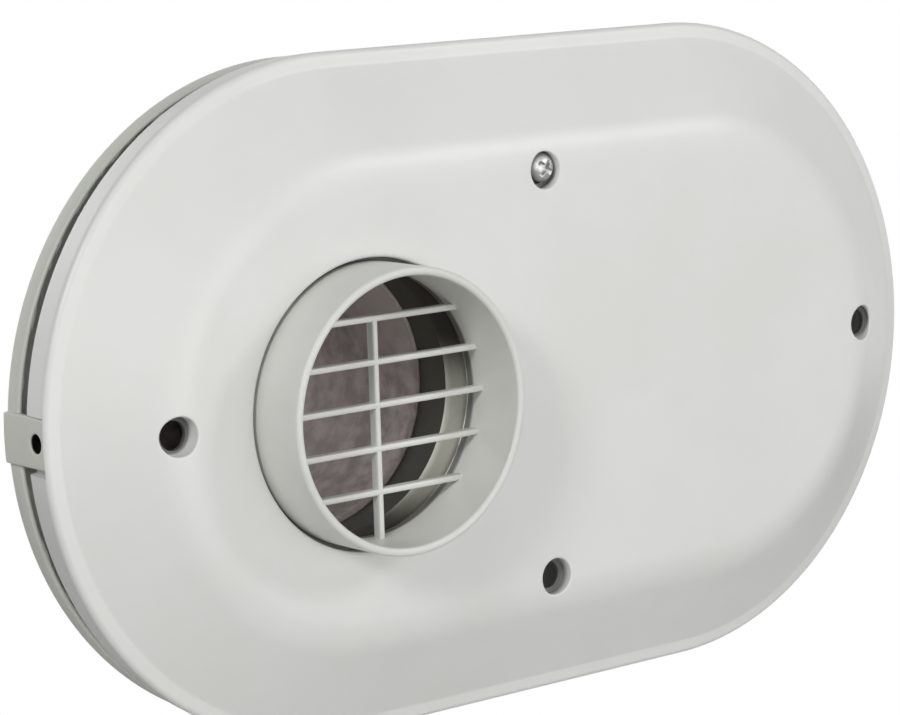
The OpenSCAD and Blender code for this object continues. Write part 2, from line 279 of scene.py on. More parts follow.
def rounding(gap: np.ndarray, radius: float) -> np.ndarray:
    """Fall of a quarter-round edge at distance `gap` from it: r - sqrt(r^2 - (r - gap)^2)."""
    reach = np.clip(radius - gap, 0, radius)
    return radius - np.sqrt(np.maximum(radius**2 - reach**2, 0))


@dataclass(frozen=True)
class Oblong:
    """An outline with straight top and bottom and round ends, and the rays that cross it.

    Each ray starts at a foot on the middle line and runs outwards. A point at an inset from the
    outline is foot + outward * (radius - inset).
    """

    half_line: float = 48.0
    radius: float = 72.0
    arc_steps: int = 120
    line_steps: int = 48

    def rays(self, stops: Sequence[float] = ()) -> tuple[np.ndarray, np.ndarray]:
        """Feet and outward directions round the outline.

        Args:
            stops: Heights at the ends, in millimetres on the outline, that get a ray of their own.

        Returns:
            Feet (n, 2) and unit directions (n, 2).
        """
        side = np.linspace(-math.pi / 2, math.pi / 2, self.arc_steps + 1)
        own = np.arcsin(np.asarray(stops, float) / self.radius)
        side = np.unique(np.round(np.concatenate([side, own, -own]), 9))
        run = np.linspace(self.half_line, -self.half_line, self.line_steps + 1)[1:-1]
        right = np.column_stack([np.cos(side), np.sin(side)])
        feet = [
            np.tile([self.half_line, 0.0], (len(side), 1)),
            np.column_stack([run, 0 * run]),
            np.tile([-self.half_line, 0.0], (len(side), 1)),
            np.column_stack([-run, 0 * run]),
        ]
        up = np.tile([0.0, 1.0], (len(run), 1))
        return np.vstack(feet), np.vstack([right, up, -right, -up])

    def split(self, plan: np.ndarray) -> tuple[np.ndarray, np.ndarray, np.ndarray]:
        """Foot, outward direction and inset of any plan point, from the middle line nearest it."""
        foot = np.stack([np.clip(plan[..., 0], -self.half_line, self.half_line), 0 * plan[..., 1]], -1)
        away = plan - foot
        distance = np.linalg.norm(away, axis=-1)
        outward = away / np.maximum(distance, 1e-9)[..., None]
        return foot, outward, self.radius - distance

    def swept(self, profile: np.ndarray) -> np.ndarray:
        """Carries a profile of (inset, depth) round the outline, as points (n, rays, 3)."""
        feet, out = self.rays()
        plan = feet[None] + out[None] * (self.radius - profile[:, None, :1])
        return in_frame(plan, profile[:, 1:2])


# Finishes


def add_node(
    tree: bpy.types.NodeTree,
    kind: str,
    options: Optional[dict] = None,
    values: Optional[dict] = None,
    links: Optional[dict] = None,
) -> bpy.types.Node:
    """Adds a shader node with its options, socket values and incoming links.

    Args:
        tree: The material's or the world's tree.
        kind: The node's type name.
        options: Attribute names and values of the node itself.
        values: Input names or numbers and their values.
        links: Input names or numbers and the sockets that feed them.

    Returns:
        The new node.
    """
    node = tree.nodes.new(kind)
    for name, value in (options or {}).items():
        setattr(node, name, value)
    for name, value in (values or {}).items():
        node.inputs[name].default_value = value
    for name, socket in (links or {}).items():
        tree.links.new(socket, node.inputs[name])
    return node


@dataclass(frozen=True)
class StainOrPaintedLight:
    """A soft-edged place of another colour on a surface, either real dirt or soot, or painted light or shade: an
    egg-shaped region, the same at both ends.

    The region is where ((|x|, depth, height) - centre) / reach is shorter than one. With `above`
    the height counts without its sign, so the region is the same above and below the middle.
    """

    colour: str
    centre: tuple
    reach: tuple
    softness: float
    strength: float = 1.0
    above: bool = False

    def over(
        self, tree: bpy.types.NodeTree, place: bpy.types.NodeSocket, under: bpy.types.NodeSocket
    ) -> bpy.types.NodeSocket:
        """Lays the mark over a colour.

        Args:
            tree: The material's tree.
            place: Object coordinates.
            under: The colour below.

        Returns:
            The mixed colour.
        """
        parts = add_node(tree, "ShaderNodeSeparateXYZ", links={0: place})
        far = add_node(tree, "ShaderNodeMath", {"operation": "ABSOLUTE"}, links={0: parts.outputs[0]})
        high = parts.outputs[2]
        if self.above:
            high = add_node(tree, "ShaderNodeMath", {"operation": "ABSOLUTE"}, links={0: high}).outputs[0]
        folded = add_node(tree, "ShaderNodeCombineXYZ", links={0: far.outputs[0], 1: parts.outputs[1], 2: high})
        x, depth, z = self.centre
        away = add_node(
            tree,
            "ShaderNodeVectorMath",
            {"operation": "SUBTRACT"},
            {1: (x * MM, (depth - WALL_DEPTH) * MM, z * MM)},
            {0: folded.outputs[0]},
        )
        share = add_node(
            tree,
            "ShaderNodeVectorMath",
            {"operation": "DIVIDE"},
            {1: tuple(r * MM for r in self.reach)},
            {0: away.outputs[0]},
        )
        length = add_node(tree, "ShaderNodeVectorMath", {"operation": "LENGTH"}, links={0: share.outputs[0]})
        amount = add_node(
            tree,
            "ShaderNodeMapRange",
            {"interpolation_type": "SMOOTHSTEP"},
            {1: 1 - self.softness, 2: 1 + self.softness, 3: self.strength, 4: 0.0},
            {0: length.outputs["Value"]},
        )
        mixed = add_node(
            tree,
            "ShaderNodeMix",
            {"data_type": "RGBA"},
            {7: linear(self.colour)},
            {0: amount.outputs[0], 6: under},
        )
        return mixed.outputs[2]


@dataclass(frozen=True)
class Finish:
    """A surface: what it is made of, how it was made, and what that gives the eye."""

    name: str
    colour: str
    second: str
    patch_mm: float
    grain: Grain
    grain_mm: float
    relief_mm: float
    roughness: float
    roughness_swing: float = 0.05
    metallic: float = 0.0
    ior: float = 1.5
    axis_x: float = 0.0
    stains_and_painted_light: tuple = ()

    def material(self) -> bpy.types.Material:
        """Makes the material, or returns the one already made."""
        made = bpy.data.materials.get(self.name)
        if made:
            return made
        made = bpy.data.materials.new(self.name)
        made.use_nodes = True
        tree = made.node_tree
        tree.nodes.clear()
        place = add_node(tree, "ShaderNodeTexCoord").outputs["Object"]
        patch = self.patches(tree, place)
        grain = self.relief(tree, place)
        tint = add_node(
            tree,
            "ShaderNodeMix",
            {"data_type": "RGBA"},
            {6: linear(self.colour), 7: linear(self.second)},
            {0: patch},
        )
        rough = add_node(
            tree,
            "ShaderNodeMapRange",
            values={3: self.roughness - self.roughness_swing, 4: self.roughness + self.roughness_swing},
            links={0: grain},
        )
        bump = add_node(
            tree,
            "ShaderNodeBump",
            values={"Strength": 1.0, "Distance": self.relief_mm * MM},
            links={"Height": grain},
        )
        colour = tint.outputs[2]
        for mark in self.stains_and_painted_light:
            colour = mark.over(tree, place, colour)
        shader = add_node(
            tree,
            "ShaderNodeBsdfPrincipled",
            values={"Metallic": self.metallic, "IOR": self.ior},
            links={
                "Base Color": colour,
                "Roughness": rough.outputs[0],
                "Normal": bump.outputs[0],
            },
        )
        add_node(tree, "ShaderNodeOutputMaterial", links={"Surface": shader.outputs[0]})
        return made

    def patches(self, tree: bpy.types.NodeTree, place: bpy.types.NodeSocket) -> bpy.types.NodeSocket:
        """Slow change of colour from place to place: soft cloudy noise, `patch_mm` across."""
        cloud = add_node(
            tree,
            "ShaderNodeTexNoise",
            values={"Scale": per_mm(self.patch_mm), "Detail": 4.0, "Roughness": 0.6},
            links={"Vector": place},
        )
        spread = add_node(
            tree,
            "ShaderNodeMapRange",
            {"interpolation_type": "SMOOTHSTEP"},
            {1: 0.32, 2: 0.68},
            {0: cloud.outputs[0]},
        )
        return spread.outputs[0]

    def relief(self, tree: bpy.types.NodeTree, place: bpy.types.NodeSocket) -> bpy.types.NodeSocket:
        """Fine height of the surface, `grain_mm` across, from 0 to 1.

        Turned and drawn metal has rings round the duct's axis: the noise is read at (distance from
        the axis, depth) and hardly changes round it.
        """
        vector = place
        if self.grain is Grain.TURNED:
            centred = add_node(
                tree, "ShaderNodeMapping", values={"Location": (-self.axis_x * MM, 0, 0)}, links={0: place}
            )
            flat = add_node(
                tree, "ShaderNodeVectorMath", {"operation": "MULTIPLY"}, {1: (1, 0, 1)}, {0: centred.outputs[0]}
            )
            reach = add_node(tree, "ShaderNodeVectorMath", {"operation": "LENGTH"}, links={0: flat.outputs[0]})
            parts = add_node(tree, "ShaderNodeSeparateXYZ", links={0: place})
            slow = add_node(
                tree, "ShaderNodeVectorMath", {"operation": "SCALE"}, {"Scale": 0.02}, {0: place}
            )
            rings = add_node(
                tree,
                "ShaderNodeCombineXYZ",
                links={0: reach.outputs["Value"], 1: parts.outputs[1]},
            )
            vector = add_node(
                tree, "ShaderNodeVectorMath", {"operation": "ADD"}, links={0: rings.outputs[0], 1: slow.outputs[0]}
            ).outputs[0]
        detail = 1.0 if self.grain is Grain.SPARK_ERODED else 3.0
        noise = add_node(
            tree,
            "ShaderNodeTexNoise",
            values={"Scale": per_mm(self.grain_mm), "Detail": detail, "Roughness": 0.55},
            links={"Vector": vector},
        )
        return noise.outputs[0]


# Painted shade: near-black colour inside the blind holes behind the end tabs, standing in for the shade in them.
HOLE_PAINTED_SHADE = StainOrPaintedLight("#171612", (114.6, 16.3, 0.0), (4.9, 4.6, 4.6), 0.04)
# Painted shade on the screw seats and the foot of the recess walls: thin in the recesses at the ends, thicker above and
# below.
SEAT_PAINTED_SHADE_ENDS = StainOrPaintedLight("#3A3B36", (96.4, 3.6, 0.6), (4.7, 1.8, 4.7), 0.15, 0.92)
SEAT_PAINTED_SHADE_SIDES = StainOrPaintedLight("#3A3B36", (0.0, 3.3, 44.0), (4.9, 2.5, 4.9), 0.3, 0.85, above=True)
# Soot, which the rising gas leaves on the upper part of the collar.
FLUE_SOOT = StainOrPaintedLight("#3B392F", (48.0, 7.5, 29.0), (60.0, 60.0, 26.0), 0.22, 0.92)
# Painted shade: darker colour in the gap round the outlet's foot, and a dark line where its bore meets the collar.
GAP_PAINTED_SHADE = StainOrPaintedLight("#4A4B45", (48.0, 3.3, 0.0), (36.0, 2.3, 36.0), 0.15, 0.9)
# Painted light and shade inside the flue: paler colour above near the mouth, darker colour deep inside.
FLUE_PAINTED_LIGHT = StainOrPaintedLight("#EADFDC", (38.0, 20.0, 24.0), (40.0, 30.0, 20.0), 0.5, 0.9)
FLUE_PAINTED_SHADE = StainOrPaintedLight("#6F615E", (40.0, 66.0, 0.0), (60.0, 40.0, 60.0), 0.4, 0.45)
FLUE_SOOT_LOW = StainOrPaintedLight("#3B392F", (57.0, 7.5, -28.0), (22.0, 60.0, 15.0), 0.35, 0.92)

# Weather-proof ASA, injection moulded: satin off-white with an even fine grain that breaks up
# the softbox reflections, and the faintest clouding of the pigment.
# Painted shade darkens its blind holes and its screw seats.
COVER_ASA = Finish("asa_moulded_white", "#E6E6E4", "#E2E2DF", 45, Grain.SPARK_ERODED, 0.55, 0.006, 0.38, 0.04, ior=1.52, stains_and_painted_light=(HOLE_PAINTED_SHADE, SEAT_PAINTED_SHADE_ENDS, SEAT_PAINTED_SHADE_SIDES))
# The same plastic from another batch, a shade greener and a little smoother from a polished core. Painted shade darkens
# the gap round its foot and the end of its bore.
SPIGOT_ASA = Finish("asa_moulded_outlet", "#DFE0DB", "#DADBD5", 25, Grain.SPARK_ERODED, 0.45, 0.004, 0.40, 0.04, ior=1.52, stains_and_painted_light=(GAP_PAINTED_SHADE,))
# Painted shade darkens the blind holes behind its end tabs.
PLATE_ASA = Finish("asa_moulded_plate", "#D6D8D0", "#CFD1C9", 40, Grain.SPARK_ERODED, 0.55, 0.006, 0.48, 0.05, ior=1.52, stains_and_painted_light=(HOLE_PAINTED_SHADE,))
# Glass-filled nylon, moulded: dark grey and matt, with a slightly uneven skin from the fibres.
INTAKE_NYLON = Finish("nylon_moulded_grey", "#525254", "#47484A", 12, Grain.MATT, 0.8, 0.012, 0.55, 0.06, ior=1.53)
# Deep-drawn stainless steel: bright, with faint rings left by the tool.
COLLAR_STEEL = Finish("stainless_drawn", "#B6B7AB", "#A5A69B", 14, Grain.TURNED, 0.5, 0.004, 0.48, 0.06, 1.0, axis_x=-48.0, stains_and_painted_light=(FLUE_SOOT, FLUE_SOOT_LOW))
# Stainless flue tube after use: heat tint and soot leave mauve-brown matt patches on the metal. Painted light makes it
# paler above near the mouth, and painted shade darker deep inside.
FLUE_STEEL = Finish("stainless_heat_tinted", "#C8BBBA", "#938781", 5, Grain.MATT, 1.6, 0.03, 0.55, 0.10, 0.3, stains_and_painted_light=(FLUE_PAINTED_LIGHT, FLUE_PAINTED_SHADE))
# Moulded silicone: deep black, dry and matt.
SILICONE = Finish("silicone_moulded_black", "#4C4C40", "#545247", 9, Grain.MATT, 0.6, 0.01, 0.62, 0.05, ior=1.43)
# Closed-cell foam strip, cut: dark grey with small open cells along its face.
FOAM = Finish("foam_closed_cell", "#3B3B3D", "#303032", 5, Grain.MATT, 1.1, 0.15, 0.85, 0.05, ior=1.45)
# Pressed stainless screw: bright head with turned rings.
SCREW_STEEL = Finish("stainless_cold_headed", "#C4C4C1", "#B0B0AD", 3, Grain.MATT, 0.5, 0.01, 0.44, 0.08, 1.0)
# Zinc-plated steel: dull silver with slight blotches.
ZINC = Finish("steel_zinc_plated", "#B9BABB", "#A2A4A6", 2, Grain.MATT, 0.4, 0.008, 0.38, 0.08, 1.0)
# Turned brass inserts.
BRASS = Finish("brass_turned", "#C9A560", "#B28F4C", 3, Grain.MATT, 0.3, 0.006, 0.30, 0.06, 1.0)


def dress(thing: bpy.types.Object, finish: Finish) -> None:
    """Puts one finish on the whole of an object, in its first material slot."""
    if thing.material_slots:
        for slot in thing.material_slots:
            slot.material = finish.material()
    else:
        thing.data.materials.append(finish.material())


def seat(thing: bpy.types.Object, finish: Finish, replaced: Sequence[str] = ()) -> bpy.types.Object:
    """Dresses a finished piece, ties it to the body and hides the CAD nodes that it stands for.

    Args:
        thing: The piece, in place.
        finish: Its surface.
        replaced: CAD nodes that it stands for.

    Returns:
        The same piece.
    """
    dress(thing, finish)
    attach(thing, BODY)
    if replaced:
        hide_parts(*replaced)
    return thing


# Sub-assemblies


@dataclass
class FrontCover:
    """The moulded cover: flat face, soft crease, sloping shoulder, thin rim and skirt."""

    outline: Oblong = field(default_factory=Oblong)
    wall: float = 3.0
    rim_depth: float = 12.2
    land_width: float = 3.4
    land_depth: float = 11.6
    edge_radius: float = 1.4
    skirt_depth: float = 19.6
    skirt_draw: float = 0.8
    crease_inset: float = 23.0
    crease_radius: float = 16.0
    screw_points: tuple = ((-96.0, 0.0), (96.0, 0.0), (0.0, 44.0), (0.0, -44.0))
    recess_radius: float = 4.0
    recess_edge: float = 0.4
    seat_depth: float = 3.1
    seat_hole: float = 3.0
    well_radius: float = 6.2
    well_depth: float = 4.3
    outlet: tuple = (-48.0, 0.0)
    outlet_radius: float = 30.4
    outlet_edge: float = 0.7
    notch_top: float = 5.3
    notch_low: float = 6.5
    notch_depth: float = 12.9
    notch_inset: float = 2.5
    pilot_depth: float = 16.3
    pilot_radius: float = 2.8
    pilot_end: float = 68.4
    pocket_radius: float = 3.0
    pocket_end: float = 62.0
    lock_radius: float = 3.25
    lock_inner: float = 61.0
    lock_widened: float = 1.8
    plan_end: float = -8.6
    around: int = 64
    ears: tuple = (45, 135, 225, 315)

    def outer_profile(self) -> np.ndarray:
        """Outside from the skirt's rear edge to the flat face, as (inset, depth)."""
        corners = [
            (self.skirt_draw + 0.5, self.skirt_depth),
            (self.skirt_draw, self.skirt_depth),
            (0.0, self.rim_depth),
            (self.land_width, self.land_depth),
            (self.crease_inset, 0.0),
            (80.0, 0.0),
        ]
        return soft_path(corners, [0, 0.35, self.edge_radius, 1.6, self.crease_radius, 0], arc=10)

    def inner_profile(self) -> np.ndarray:
        """Inside from the skirt's rear edge to the back of the face, as (inset, depth)."""
        slope = math.atan2(self.land_depth, self.crease_inset - self.land_width)
        inset = self.crease_inset + self.wall * math.tan(slope / 2)
        low = self.land_depth + self.wall
        corners = [
            (self.wall + self.skirt_draw - 0.5, self.skirt_depth),
            (self.wall + self.skirt_draw, self.skirt_depth),
            (self.wall + self.skirt_draw - 0.3, low),
            (inset - (low - self.wall) / math.tan(slope), low - 0.2),
            (inset, self.wall),
            (80.0, self.wall),
        ]
        return soft_path(corners, [0, 0.35, 1.0, 1.5, self.crease_radius - self.wall, 0], arc=6)

    def unrolled(self, profile: np.ndarray, start: float, end: float) -> tuple[np.ndarray, np.ndarray]:
        """Gives each point of a profile its place in the unrolled plan.

        From the inset `start` inwards the place is the inset itself, so holes stay round. Outside
        it, the place runs on by the length along the profile, scaled to reach `end` at the rear.

        Args:
            profile: Points of (inset, depth) from the rear edge inwards.
            start: Inset at which the plan stops being unrolled.
            end: Place of the rear edge.

        Returns:
            The places and the refined profile, both rising from the rear edge.
        """
        fine = refine(profile, 0.8)
        length = np.concatenate([[0], np.cumsum(np.linalg.norm(np.diff(fine, axis=0), axis=1))])
        first = int(np.argmax((fine[:, 0] >= start) & (np.arange(len(fine)) > 8) & (fine[:, 1] < self.skirt_depth - 1)))
        scale = (fine[first, 0] - end) / length[first]
        place = np.where(np.arange(len(fine)) < first, end + length * scale, fine[:, 0])
        return place, fine

    def surface(
        self, plan: np.ndarray, place: np.ndarray, profile: np.ndarray, holes: Sequence[tuple], outside: bool
    ) -> np.ndarray:
        """Lifts unrolled plan points to the moulding: foot + outward * (radius - inset), at depth.

        Args:
            plan: Unrolled plan points (..., 2).
            place: Unrolled places of the profile's points.
            profile: The profile's (inset, depth).
            holes: Centre, radius and edge radius of each hole whose edge is rounded.
            outside: Whether the notches for the end tabs are sunk into this side.

        Returns:
            Points (..., 3) in metres.
        """
        foot, outward, at = self.outline.split(plan)
        inset = np.interp(at, place, profile[:, 0])
        depth = np.interp(at, place, profile[:, 1])
        if outside:
            height = outward[..., 1] * self.outline.radius
            end = (np.abs(plan[..., 0]) > self.outline.half_line) & (at < 2.0)
            sunk = np.clip((self.notch_top + 0.06 - height) / 0.06, 0, 1)
            sunk = sunk * np.clip((self.notch_low + 0.06 + height) / 0.06, 0, 1)
            sunk = sunk * np.clip((depth - self.notch_depth) / 0.06, 0, 1) * end
            inset = inset + sunk * np.maximum(self.notch_inset - inset, 0)
        for centre, radius, edge in holes:
            depth = depth + rounding(np.linalg.norm(plan - np.asarray(centre), axis=-1) - radius, edge)
        return in_frame(foot + outward * (self.outline.radius - inset)[..., None], depth)

    def ring_points(self, rows: np.ndarray, stops: Sequence[float]) -> np.ndarray:
        """Plan points of the rings at the given places, on every ray."""
        feet, out = self.outline.rays(stops)
        return (feet[None] + out[None] * (self.outline.radius - rows[:, None, None])).reshape(-1, 2)

    def field_points(self, inset: float, step: float) -> np.ndarray:
        """Staggered plan points over the flat middle, further in than `inset`."""
        x, z = np.meshgrid(np.arange(-100, 101, step), np.arange(-60, 61, step * 0.866))
        x = x + (np.arange(x.shape[0]) % 2)[:, None] * step / 2
        pts = np.column_stack([x.ravel(), z.ravel()])
        return pts[self.outline.split(pts)[2] > inset]

    def clear_of(self, pts: np.ndarray, holes: Sequence[tuple], margin: float) -> np.ndarray:
        """Leaves out the points nearer than a margin to a hole's edge."""
        for centre, radius, _ in holes:
            pts = pts[np.linalg.norm(pts - np.asarray(centre), axis=-1) > radius + margin]
        return pts

    def collars(self, holes: Sequence[tuple], offsets: Sequence[float]) -> np.ndarray:
        """Rings of points close round each hole, which carry its rounded edge."""
        rings = [
            circle(c, r + gap, self.around * (2 if r > 10 else 1)) for c, r, _ in holes for gap in offsets
        ]
        return np.vstack(rings)

    def pilot_loops(self, place: np.ndarray, profile: np.ndarray, radius: float) -> list[np.ndarray]:
        """Plan circles that become round holes of a radius in the skirt, behind the two end tabs."""
        at = np.interp(self.pilot_depth, profile[::-1, 1], place[::-1])
        reach = self.outline.radius - at
        grown = radius * reach / (self.outline.radius - self.notch_inset)
        return [circle((side * (self.outline.half_line + reach), 0.0), grown, 32) for side in (-1, 1)]

    def hole_loops(self, radius: float) -> list[np.ndarray]:
        """Plan circles round the screw points, then the outlet's circle."""
        loops = [circle(c, radius, self.around) for c in self.screw_points]
        return loops + [circle(self.outlet, self.outlet_radius, 2 * self.around)]

    def build(self) -> list[bpy.types.Object]:
        """Makes the cover as one welded shell with its recesses, wells and pilot holes."""
        skin = Skin()
        end = self.plan_end
        stops = (self.notch_top, self.notch_top + 0.06, self.notch_low, self.notch_low + 0.06)
        feet, out = self.outline.rays(stops)
        edge = feet + out * (self.outline.radius - end)
        flat_row = 32.0

        out_place, out_profile = self.unrolled(self.outer_profile(), 2.0, end)
        notch_rows = [self.notch_depth, self.notch_depth + 0.06]
        notch_rows = np.interp(notch_rows, out_profile[::-1, 1], out_place[::-1])
        rows = np.unique(np.concatenate([out_place, notch_rows, [29.5, 31.5]]))
        rows = rows[(rows > end + 1e-6) & (rows < flat_row)]
        recesses = [(c, self.recess_radius, self.recess_edge) for c in self.screw_points]
        mouth = [(self.outlet, self.outlet_radius, self.outlet_edge)]
        holes = recesses + mouth
        pilots = self.pilot_loops(out_place, out_profile, self.pilot_radius)
        gaps = (0.02, 0.08, 0.17, 0.3, 0.5, 0.85, 1.4)
        pts = np.vstack([self.ring_points(rows, stops), self.field_points(flat_row + 1, 5.0)])
        pts = self.clear_of(self.clear_of(pts, holes, 1.7), self.round_each(pilots), 0.3)
        loops = [edge] + self.hole_loops(self.recess_radius) + pilots
        plan, tris = filled(loops, np.vstack([pts, self.collars(holes, gaps)]))
        skin.add(self.surface(plan, out_place, out_profile, holes, True), tris)

        in_place, in_profile = self.unrolled(self.inner_profile(), 6.5, end)
        wells = [(c, self.well_radius, 0.0) for c in self.screw_points]
        wells = wells + [(self.outlet, self.outlet_radius, 0.0)]
        in_pilots = self.pilot_loops(in_place, in_profile, self.lock_radius)
        in_rows = in_place[(in_place > end + 1e-6) & (in_place < flat_row)]
        pts = np.vstack([self.ring_points(in_rows[::2], stops), self.field_points(flat_row + 2, 8.0)])
        pts = self.clear_of(self.clear_of(pts, wells, 1.0), self.round_each(in_pilots), 0.5)
        in_loops = [edge] + self.hole_loops(self.well_radius) + in_pilots
        plan, tris = filled(in_loops, pts)
        skin.add(self.surface(plan, in_place, in_profile, [], False), tris)

        tops = [self.surface(loop, out_place, out_profile, holes, True) for loop in loops]
        lows = [self.surface(loop, in_place, in_profile, [], False) for loop in in_loops]
        skin.strip(tops[0], lows[0])
        skin.strip(tops[5], lows[5])
        for centre, top, low in zip(self.screw_points, tops[1:5], lows[1:5]):
            skin.grid(np.concatenate([top[None], revolved(self.seat_wall(), centre, self.around), low[None]]))
        for side, top, low in zip((-1, 1), tops[6:], lows[6:]):
            skin.grid(self.pilot_wall(side, top, low))
        for angle in self.ears:
            ray = np.array([math.cos(math.radians(angle)), math.sin(math.radians(angle))])
            post = np.array([(1.2, 2.9), (3.2, 2.9), (3.2, 7.8), (3.0, 8.0), (1.4, 8.0), (1.2, 7.8)])
            skin.grid(revolved(post, tuple(np.asarray(self.outlet) + 39.5 * ray), 24), wrap_rows=True)
        cover = skin.piece("cover_moulding", 40.0)
        return [seat(cover, COVER_ASA, ["front_cover"])]

    def round_each(self, loops: Sequence[np.ndarray]) -> list[tuple]:
        """Centre and radius of plan circles, in the form that `clear_of` takes."""
        return [(tuple(l.mean(axis=0)), float(np.linalg.norm(l[0] - l.mean(axis=0))), 0.0) for l in loops]

    def seat_wall(self) -> np.ndarray:
        """Recess wall, seat, screw hole and well below the face, as (radius, depth)."""
        corners = [
            (self.recess_radius, self.seat_depth - 0.6),
            (self.recess_radius - 0.03, self.seat_depth),
            (self.seat_hole, self.seat_depth),
            (self.seat_hole, self.well_depth),
            (self.well_radius, self.well_depth),
            (self.well_radius, self.well_depth - 0.3),
        ]
        return soft_path(corners, [0, 0.3, 0.2, 0.1, 0.1, 0], arc=4)

    def pilot_wall(self, side: int, top: np.ndarray, low: np.ndarray) -> np.ndarray:
        """Hole through the skirt and pocket behind it: the loop carried inwards along X, widened.

        Args:
            side: Minus one at the outlet's end, plus one at the intake's.
            top: The hole's loop in the notch.
            low: The block's loop on the skirt's inner side.

        Returns:
            Points (8, n, 3) in metres.
        """
        middle = top.mean(axis=0)
        steps = [
            (self.pilot_end, self.pilot_radius),
            (self.pilot_end, self.pocket_radius),
            (self.pocket_end, self.pocket_radius),
            (self.pocket_end, 0.0),
            (self.lock_inner, 0.0),
            (self.lock_inner, self.lock_radius),
        ]
        rings = [top]
        for reach, radius in steps:
            ring = middle + (top - middle) * radius / self.pilot_radius
            ring[:, 0] = side * (self.outline.half_line + reach) * MM
            if reach == self.lock_inner:
                ring[:, 2] *= self.lock_widened
            rings.append(ring)
        return np.stack(rings + [low])


@dataclass
class OutletSpigot:
    """The round outlet: a short tube with a rolled rim, level slats and one upright bar."""

    centre: tuple = (-48.0, 0.0)
    outer: float = 29.5
    bore: float = 27.7
    proud: float = 13.0
    rim: float = 0.75
    slats: int = 5
    pitch: float = 9.0
    slat_wide: float = 1.3
    slat_deep: float = 2.4
    bar_deep: float = 2.3
    socket: float = 32.4
    socket_wall: float = 2.2
    socket_rear: float = 17.0
    around: int = 192

    def tube(self) -> bpy.types.Object:
        """Revolves the tube, flange and socket as one closed profile."""
        corners = [
            (self.bore, 1.0),
            (self.bore, -self.proud),
            (self.outer, -self.proud),
            (self.outer, 3.0),
            (self.socket + self.socket_wall, 3.0),
            (self.socket + self.socket_wall, self.socket_rear),
            (self.socket, self.socket_rear),
            (self.socket, 5.4),
            (self.bore + 0.8, 5.4),
            (self.bore + 0.8, 3.8),
            (self.bore, 3.8),
            (self.bore, 1.0),
        ]
        radii = [0, self.rim, self.rim, 0.3, 0.4, 0.3, 0.3, 0.3, 0.1, 0.05, 0.25, 0]
        profile = refine(soft_path(corners, radii, arc=6), 3.0)[:-1]
        skin = Skin()
        skin.grid(revolved(profile, self.centre, self.around), wrap_rows=True)
        self.add_slats(skin)
        self.add_ears(skin)
        return skin.piece("outlet_tube")

    def bar(self, start: tuple, end: tuple, depth: float) -> np.ndarray:
        """A rod with a soft oblong section between two plan points, closed at both ends.

        The section is a rounded rectangle `depth` deep, carried along the line from start to end.
        """
        wide, deep = self.slat_wide / 2, depth / 2
        corners = [(-wide, 0), (-wide, -deep), (wide, -deep), (wide, deep), (-wide, deep), (-wide, 0)]
        section = soft_path(corners, [0, 0.45, 0.45, 0.35, 0.35, 0], arc=4)[:-1]
        a, b = np.asarray(start, float), np.asarray(end, float)
        along = (b - a) / np.linalg.norm(b - a)
        across = np.array([-along[1], along[0]])
        at = np.concatenate([[0, 0], np.linspace(0, 1, 13), [1, 1]])
        size = np.concatenate([[0, 0.5], np.ones(13), [0.5, 0]])
        plan = a + (b - a) * at[:, None, None] + across * section[None, :, :1] * size[:, None, None]
        return in_frame(plan, section[None, :, 1] * size[:, None])

    def add_slats(self, skin: Skin) -> None:
        """Adds the level slats and the upright bar, each let into the tube's wall."""
        top = self.pitch * (self.slats - 1) / 2
        reach = self.bore + 1.0
        for k in range(self.slats):
            z = top - k * self.pitch
            half = math.sqrt(reach**2 - z**2)
            skin.grid(self.bar((self.centre[0] - half, z), (self.centre[0] + half, z), self.slat_deep))
        skin.grid(self.bar((self.centre[0], -reach), (self.centre[0], top + 0.3), self.bar_deep))

    def add_ears(self, skin: Skin) -> None:
        """Adds the four ears that are screwed to the inside of the cover."""
        for angle in (45, 135, 225, 315):
            ray = np.array([math.cos(math.radians(angle)), math.sin(math.radians(angle))])
            side = np.array([-ray[1], ray[0]])
            t = np.linspace(-math.pi / 2, math.pi / 2, 13)
            tip = np.column_stack([39.5 + 3.4 * np.cos(t), 3.4 * np.sin(t)])
            root = np.array([[33.4, 3.4], [33.4, -3.4]])
            flat = np.vstack([tip, root])
            plan = np.asarray(self.centre) + flat[:, :1] * ray + flat[:, 1:] * side
            middle = plan.mean(axis=0)
            rings = np.stack([0 * plan + middle, plan, plan, 0 * plan + middle])
            skin.grid(in_frame(rings, np.array([8.0, 8.0, 10.4, 10.4])[:, None]))

    def build(self) -> list[bpy.types.Object]:
        """Makes the outlet."""
        return [seat(self.tube(), SPIGOT_ASA, ["outlet_spigot"])]


def flanged_tube(
    name: str, centre: tuple, outer: float, wall: float, front: float, lip: float
) -> bpy.types.Object:
    """Revolves a duct with a flange on the plate's floor and a groove behind the wall face.

    Args:
        name: The object's name.
        centre: Its axis in the plane of the face.
        outer: Outer radius.
        wall: Wall thickness.
        front: Depth of its front mouth.
        lip: Radius of the soft edges at both mouths.

    Returns:
        The finished object.
    """
    rear, flange, floor, groove = 69.0, 40.5, 25.4, 1.0
    inner = outer - wall
    corners = [
        (inner, front + 2),
        (inner, front),
        (outer, front),
        (outer, floor - 1.2),
        (flange, floor - 1.2),
        (flange, floor),
        (outer, floor),
        (outer, 28.5),
        (outer - groove, 28.5),
        (outer - groove, 29.5),
        (outer, 29.5),
        (outer, rear),
        (inner, rear),
        (inner, front + 2),
    ]
    radii = [0, lip, lip, 0.3, 0.4, 0.2, 0.2, 0.2, 0.2, 0.2, 0.2, lip, lip, 0]
    profile = refine(soft_path(corners, radii, arc=4), 4.0)[:-1]
    skin = Skin()
    skin.grid(revolved(profile, centre, 160), wrap_rows=True)
    return skin.piece(name, 50.0)


